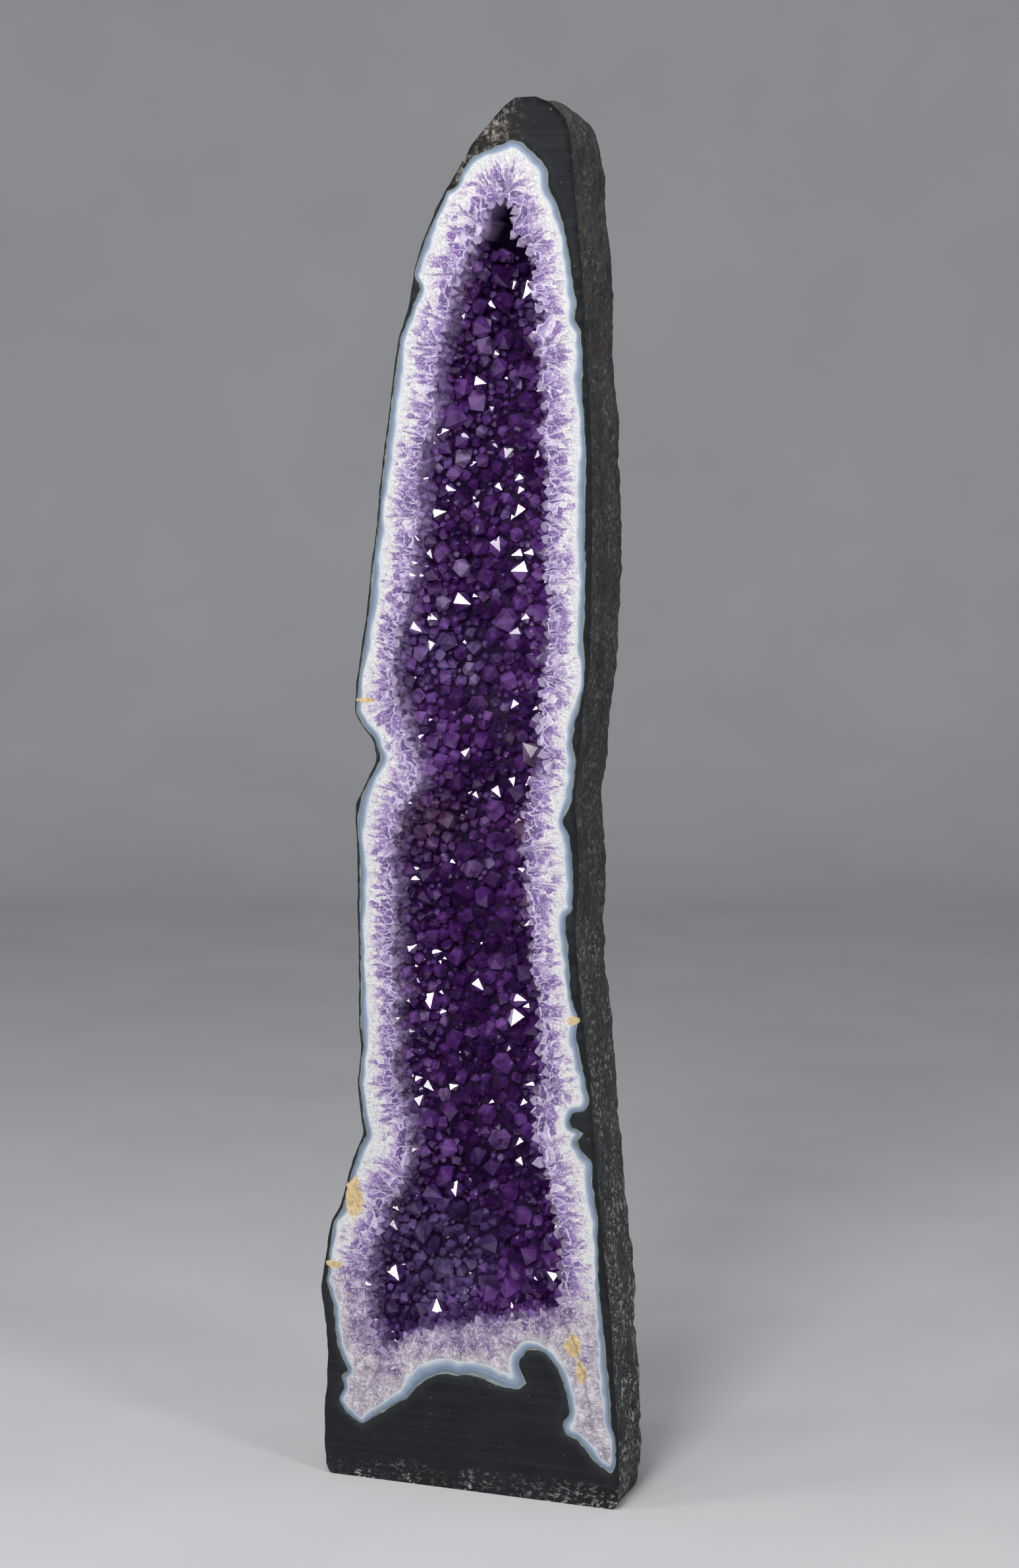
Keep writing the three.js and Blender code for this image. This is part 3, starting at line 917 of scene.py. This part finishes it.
# ---------------- materials
class Paint:
    """A Principled material and short ways to add nodes to it."""

    def __init__(self, name):
        self.material = bpy.data.materials.new(name)
        self.material.use_nodes = True
        self.tree = self.material.node_tree
        self.shader = self.tree.nodes["Principled BSDF"]
        self.output = self.tree.nodes["Material Output"]

    def add(self, kind, inputs=None, **settings):
        node = self.tree.nodes.new("ShaderNode" + kind)
        for key, value in settings.items():
            setattr(node, key, value)
        for key, value in (inputs or {}).items():
            self.put(node.inputs[key], value)
        return node

    def put(self, socket, value):
        if isinstance(value, bpy.types.NodeSocket):
            self.tree.links.new(value, socket)
        else:
            socket.default_value = value

    def place(self, scale=(1, 1, 1)):
        where = self.add("TexCoord").outputs["Object"]
        return self.add("Mapping", {"Vector": where, "Scale": scale}).outputs["Vector"]

    def noise(self, vector, scale, detail=3.0, roughness=0.55, distortion=0.0):
        settings = {"Vector": vector, "Scale": scale, "Detail": detail}
        settings.update({"Roughness": roughness, "Distortion": distortion})
        return self.add("TexNoise", settings).outputs["Fac"]

    def field(self, name):
        return self.add("Attribute", attribute_name=name).outputs["Fac"]

    def ochre(self, body, place):
        """Body colour with the ochre crusts over it."""
        cover = self.plus(self.field("ochre"), self.swing(self.noise(place, 130, 3), 0.9))
        mask = self.ramp(cover, (0.52, 0.0), (0.60, 1.0))
        crust = self.ramp(self.noise(place, 260, 3), (0.3, (0.42, 0.30, 0.14)), (0.7, (0.72, 0.56, 0.30)))
        return self.mix(mask, body, crust)

    def ramp(self, value, *stops):
        """Colour ramp: stops are (position, colour or grey)."""
        node = self.add("ValToRGB", {"Fac": value})
        band = node.color_ramp
        while len(band.elements) < len(stops):
            band.elements.new(0.5)
        for element, (position, colour) in zip(band.elements, stops):
            element.position = position
            rgb = colour if isinstance(colour, tuple) else (colour,) * 3
            element.color = (*rgb, 1)
        return node.outputs["Color"]

    def math(self, operation, a, b):
        return self.add("Math", {0: a, 1: b}, operation=operation).outputs["Value"]

    def times(self, a, b):
        return self.math("MULTIPLY", a, b)

    def plus(self, a, b):
        return self.math("ADD", a, b)

    def swing(self, value, amount):
        """A value from 0 to 1 turned into one that swings around 0."""
        return self.times(self.math("SUBTRACT", value, 0.5), amount)

    def vector(self, x, y):
        return self.add("CombineXYZ", {"X": x, "Y": y}).outputs["Vector"]

    def along_axis(self, place, name):
        return self.add("SeparateXYZ", {"Vector": place}).outputs[name]

    def mix(self, factor, a, b):
        """The first colour with the second over it, as far as the factor says."""
        node = self.add("Mix", data_type="RGBA")
        self.put(node.inputs["Factor"], factor)
        for key, value in ((6, a), (7, b)):
            self.put(node.inputs[key], (*value, 1) if isinstance(value, tuple) else value)
        return node.outputs[2]

    def bump(self, height, strength, distance):
        node = self.add("Bump", {"Height": height, "Strength": strength, "Distance": distance})
        self.put(self.shader.inputs["Normal"], node.outputs["Normal"])

    def set(self, **values):
        for key, value in values.items():
            self.put(self.shader.inputs[key.replace("_", " ")], value)


def rough_rock():
    """Rough dark basalt, with pale crumbs that get denser towards the foot."""
    p = Paint("basalt_rough")
    place = p.place()
    broad = p.noise(place, 18, 3)
    body = p.ramp(broad, (0.3, (0.015, 0.0155, 0.017)), (0.7, (0.048, 0.047, 0.046)))
    fine = p.noise(place, 420, 2, 0.7)
    body = p.mix(p.ramp(fine, (0.35, 0.0), (0.7, 0.7)), body, (0.105, 0.104, 0.102))
    height = p.along_axis(place, "Z")
    low = p.ramp(height, (0.10, 1.0), (0.62, 0.30))
    crumbs = p.noise(place, 190, 3, 0.8)
    clumps = p.noise(p.place((1, 1, 0.6)), 34, 3, 0.6)
    spots = p.ramp(crumbs, (0.53, 0.0), (0.60, 1.0))
    spots = p.times(spots, p.ramp(clumps, (0.38, 0.0), (0.52, 1.0)))
    spots = p.times(spots, low)
    body = p.mix(spots, body, (0.44, 0.435, 0.42))
    tip = p.ramp(height, (0.92, 0.0), (0.955, 0.6))
    rust = p.ramp(p.noise(place, 40, 3), (0.45, 0.0), (0.65, 1.0))
    body = p.mix(p.times(tip, rust), body, (0.085, 0.070, 0.055))
    p.set(Base_Color=body, Roughness=0.88, Specular_IOR_Level=0.25)
    relief = p.plus(p.noise(place, 150, 4, 0.75), p.times(crumbs, 0.7))
    p.bump(relief, 1.0, 0.0045)
    return p.material


def sawn_rock():
    """Sawn basalt: saw marks, a pale line beside the agate, a scuffed foot and a crusty crown."""
    p = Paint("basalt_sawn")
    place = p.place()
    body = p.ramp(p.noise(place, 30, 4), (0.3, (0.0075, 0.0075, 0.0098)), (0.7, (0.0125, 0.0127, 0.0165)))
    marks = p.noise(p.place((6, 1, 260)), 1.0, 2)
    body = p.mix(p.ramp(marks, (0.45, 0.0), (0.75, 0.25)), body, (0.038, 0.039, 0.043))
    grit = p.ramp(p.noise(place, 380, 1, 0.4), (0.74, 0.0), (0.80, 0.8))
    body = p.mix(grit, body, (0.22, 0.22, 0.21))
    contact = p.field("contact")
    tint = p.ramp(p.math("DIVIDE", contact, 0.010), (0.0, 0.6), (1.0, 0.0))
    body = p.mix(tint, body, (0.021, 0.029, 0.030))
    wander = p.swing(p.noise(place, 120, 3), 0.0028)
    line = p.ramp(p.math("DIVIDE", p.plus(contact, wander), 0.004), (0.10, 0.9), (0.28, 0.0))
    line = p.times(line, p.ramp(p.noise(place, 45, 3), (0.42, 0.0), (0.58, 1.0)))
    body = p.mix(line, body, (0.30, 0.31, 0.24))
    height = p.along_axis(place, "Z")
    low = p.ramp(p.math("DIVIDE", height, 0.030), (0.05, 1.0), (0.8, 0.0))
    scuff = p.ramp(p.noise(p.place((1, 1, 1.6)), 150, 5, 0.8), (0.54, 0.0), (0.60, 1.0))
    worn = p.ramp(p.noise(place, 22, 2), (0.44, 0.15), (0.58, 1.0))
    scuff = p.times(p.times(low, scuff), worn)
    body = p.mix(scuff, body, (0.40, 0.40, 0.39))
    upper = p.ramp(p.times(height, 0.5), (0.598, 0.0), (0.612, 1.0))
    left = p.ramp(p.plus(p.along_axis(place, "X"), 0.5), (0.530, 1.0), (0.560, 0.0))
    crust = p.ramp(
        p.noise(place, 170, 4, 0.75),
        (0.42, (0.010, 0.010, 0.011)),
        (0.54, (0.055, 0.048, 0.040)),
        (0.64, (0.26, 0.24, 0.21)),
    )
    body = p.mix(p.times(upper, left), body, crust)
    body = p.ochre(body, place)
    p.set(Base_Color=body, Roughness=0.58, Specular_IOR_Level=0.18)
    p.bump(p.plus(marks, p.noise(place, 300, 3, 0.6)), 0.25, 0.0006)
    return p.material


def agate_look():
    """Blue-grey agate that gets paler towards the quartz."""
    p = Paint("agate_blue")
    place = p.place()
    across, along = p.field("across"), p.field("along")
    wander = p.swing(p.noise(place, 60, 3), 0.55)
    zone = p.plus(across, wander)
    body = p.ramp(
        zone,
        (0.0, (0.20, 0.23, 0.22)),
        (0.10, (0.085, 0.120, 0.165)),
        (0.36, (0.145, 0.195, 0.290)),
        (0.66, (0.235, 0.295, 0.390)),
        (0.95, (0.54, 0.57, 0.58)),
    )
    lines = p.vector(p.times(along, 8.0), p.times(across, 9.0))
    veil = p.ramp(p.noise(lines, 1.6, 2), (0.42, 0.0), (0.78, 0.35))
    body = p.mix(veil, body, (0.46, 0.52, 0.60))
    body = p.ochre(body, place)
    p.set(Base_Color=body, Roughness=0.42, Specular_IOR_Level=0.5)
    p.bump(p.noise(place, 260, 3), 0.15, 0.0005)
    return p.material


def quartz_look():
    """Sawn quartz: columns that run from the white root to the purple tips."""
    p = Paint("quartz_sawn")
    place = p.place()
    across, along = p.field("across"), p.field("along")
    run = p.plus(along, p.swing(p.noise(place, 60, 2), 0.007))

    def stretched(per_metre, in_band):
        """Texture place with so many units to a metre along the band, and so many across it."""
        return p.vector(p.times(run, per_metre), p.times(across, in_band))

    fibres = p.noise(stretched(330.0, 3.6), 1.0, 3, 0.65, 0.5)
    columns = p.noise(stretched(75.0, 1.2), 1.0, 2, 0.5, 0.3)
    streaks = p.noise(stretched(850.0, 11.0), 1.0, 3, 0.8, 0.2)
    cells = {"Vector": stretched(250.0, 3.0), "Scale": 1.0}
    cell = p.add("TexVoronoi", cells, feature="F1")
    gap = p.add("TexVoronoi", cells, feature="DISTANCE_TO_EDGE")
    shade_of = p.add("SeparateColor", {"Color": cell.outputs["Color"]}).outputs["Red"]
    zone = across
    for value, amount in ((columns, 0.75), (fibres, 0.5), (shade_of, 0.60), (p.noise(place, 14, 2), 0.5)):
        zone = p.plus(zone, p.swing(value, amount))
    body = p.ramp(
        zone,
        (0.0, (0.62, 0.63, 0.62)),
        (0.12, (0.69, 0.68, 0.65)),
        (0.34, (0.59, 0.55, 0.60)),
        (0.50, (0.36, 0.27, 0.46)),
        (0.64, (0.21, 0.115, 0.34)),
        (0.85, (0.13, 0.055, 0.24)),
        (1.0, (0.07, 0.025, 0.15)),
    )
    seam = p.ramp(gap.outputs["Distance"], (0.0, 0.75), (0.05, 0.5), (0.10, 0.0))
    seam = p.times(seam, p.ramp(across, (0.45, 0.0), (0.85, 1.0)))
    body = p.mix(seam, body, (0.74, 0.66, 0.84))
    dark = p.ramp(fibres, (0.56, 0.0), (0.70, 0.7))
    body = p.mix(dark, body, (0.20, 0.14, 0.30))
    height = p.along_axis(place, "Z")
    foot = p.ramp(height, (0.175, 0.6), (0.215, 0.0))
    dusky = p.ramp(
        p.noise(place, 95, 4, 0.75),
        (0.42, (0.085, 0.04, 0.12)),
        (0.54, (0.36, 0.29, 0.35)),
        (0.64, (0.66, 0.62, 0.64)),
    )
    body = p.mix(foot, body, dusky)
    grain = p.noise(place, 340, 4, 0.85)
    mixed = p.plus(p.times(grain, 0.45), p.times(streaks, 0.55))
    inner = p.ramp(across, (0.05, 0.3), (0.22, 0.7), (0.50, 0.9), (0.80, 0.6))
    pits = p.times(p.ramp(mixed, (0.38, 1.0), (0.49, 0.0)), inner)
    body = p.mix(pits, body, (0.16, 0.10, 0.25))
    glitter = p.ramp(mixed, (0.52, 0.0), (0.61, 0.9))
    glitter = p.times(glitter, p.ramp(across, (0.4, 1.0), (1.0, 0.5)))
    body = p.mix(glitter, body, (0.80, 0.78, 0.81))
    body = p.ochre(body, place)
    p.set(Base_Color=body, Roughness=0.25, Specular_IOR_Level=0.5)
    relief = p.plus(fibres, p.noise(place, 420, 3, 0.7))
    relief = p.plus(relief, p.times(shade_of, 0.6))
    p.bump(relief, 0.6, 0.0016)
    return p.material


def wall_look():
    """Wall between the points: pale quartz at the rim, then painted shade that darkens it with depth to
    almost black deep inside.
    """
    p = Paint("quartz_wall_purple")
    place = p.place()
    # Painted shade: the near-black body stands for the shade between the points, and the depth ramp below
    # fades the pale rim quartz into it.
    body = p.ramp(p.noise(place, 60, 3), (0.35, (0.010, 0.003, 0.020)), (0.7, (0.032, 0.009, 0.060)))
    pale = p.ramp(p.math("DIVIDE", p.field("depth"), 0.032), (0.0, 1.0), (0.35, 0.6), (1.0, 0.0))
    body = p.mix(pale, body, (0.56, 0.42, 0.70))
    p.set(Base_Color=body, Roughness=0.6, Specular_IOR_Level=0.12)
    p.bump(p.noise(place, 220, 3), 0.6, 0.002)
    return p.material


def amethyst_look():
    """Purple quartz points: see-through, paler at the rim (partly painted light, from the stone colours)
    and where the stone is milky.
    """
    p = Paint("amethyst")
    place = p.place()
    stone = p.add("Attribute", attribute_name="stone").outputs["Color"]
    cloud = p.ramp(p.noise(place, 110, 3, 0.6), (0.50, 0.0), (0.75, 0.35))
    body = p.mix(cloud, stone, (0.50, 0.28, 0.74))
    smoke = p.ramp(p.noise(place, 70, 2, 0.6), (0.46, 0.0), (0.66, 0.8))
    body = p.mix(smoke, body, (0.060, 0.012, 0.110))
    p.set(Base_Color=body, Roughness=0.04, IOR=1.55, Transmission_Weight=0.65)
    absorb = p.add("VolumeAbsorption", {"Color": (0.55, 0.18, 0.75, 1), "Density": 40.0})
    p.tree.links.new(absorb.outputs["Volume"], p.output.inputs["Volume"])
    return p.material


# ---------------- build
rock = make_rock([rough_rock(), sawn_rock()])
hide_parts("basalt_shell")
agate = make_agate([agate_look()])
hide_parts("agate_rim")
quartz = make_quartz([quartz_look(), wall_look()])
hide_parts("amethyst_lining")
druse = make_druse(amethyst_look())
for piece in (rock, agate, quartz, druse):
    shade(piece, piece is rock)
    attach(piece, "root")


# ---------------- stage, lights and camera
def stage_look():
    p = Paint("pale_floor")
    body = p.ramp(p.noise(p.place(), 3, 2), (0.3, (0.60, 0.60, 0.61)), (0.7, (0.64, 0.64, 0.645)))
    p.set(Base_Color=body, Roughness=0.9, Specular_IOR_Level=0.2)
    return p.material


def make_floor():
    """Pale floor that curves up into a plain backdrop far behind the part."""
    front, bend, radius, half_width, top = -12.0, 4.6, 1.4, 10.0, 8.0
    profile = [(front, 0.0), (bend, 0.0)]
    for a in np.linspace(0.1, math.pi / 2, 14):
        profile.append((bend + radius * math.sin(a), radius - radius * math.cos(a)))
    profile.append((bend + radius, top))
    way = Vector(EYE_PLACE[:2]).normalized()
    points = []
    for back, z in profile:
        for side in (-half_width, half_width):
            points.append((-way.x * back - way.y * side, -way.y * back + way.x * side, z))
    faces = [(2 * k, 2 * k + 1, 2 * k + 3, 2 * k + 2) for k in range(len(profile) - 1)]
    mesh = bpy.data.meshes.new("floor")
    mesh.from_pydata(points, [], faces)
    mesh.materials.append(stage_look())
    floor = placed("floor", mesh)
    shade(floor, True)


def aim(thing, target):
    way = Vector(target) - thing.location
    thing.rotation_euler = way.to_track_quat("-Z", "Y").to_euler()


def area_light(name, place, target, size, power):
    data = bpy.data.lights.new(name, "AREA")
    data.shape = "RECTANGLE"
    data.size, data.size_y = size
    data.energy = power
    light = placed(name, data)
    light.location = place
    aim(light, target)


make_floor()
area_light("key", KEY_PLACE, (0, 0, 0.7), (0.8, 1.1), 74)
area_light("spark", (-0.5, -3.2, 1.3), (0, 0, 0.6), (0.25, 0.25), 8)
area_light("left", (-2.2, -2.4, 2.2), (0, 0, 0.6), (0.9, 1.2), 20)
area_light("fill", (2.9, -1.6, 1.9), (0, 0, 0.6), (0.6, 0.9), 30)
area_light("top", (0.2, -1.0, 3.2), (0, 0, 0.6), (0.7, 0.7), 20)

world = bpy.data.worlds.new("studio")
bpy.context.scene.world = world
world.use_nodes = True
sky = world.node_tree.nodes["Background"].inputs
sky["Color"].default_value = (0.9, 0.92, 1.0, 1)
sky["Strength"].default_value = 0.28

camera_data = bpy.data.cameras.new("camera")
camera_data.lens = 86.9
camera_data.sensor_width = 36
camera = placed("camera", camera_data)
camera.location = EYE_PLACE
aim(camera, (0.0448, -0.0804, 0.6724))
bpy.context.scene.camera = camera
bpy.context.scene.view_settings.view_transform = "Standard"
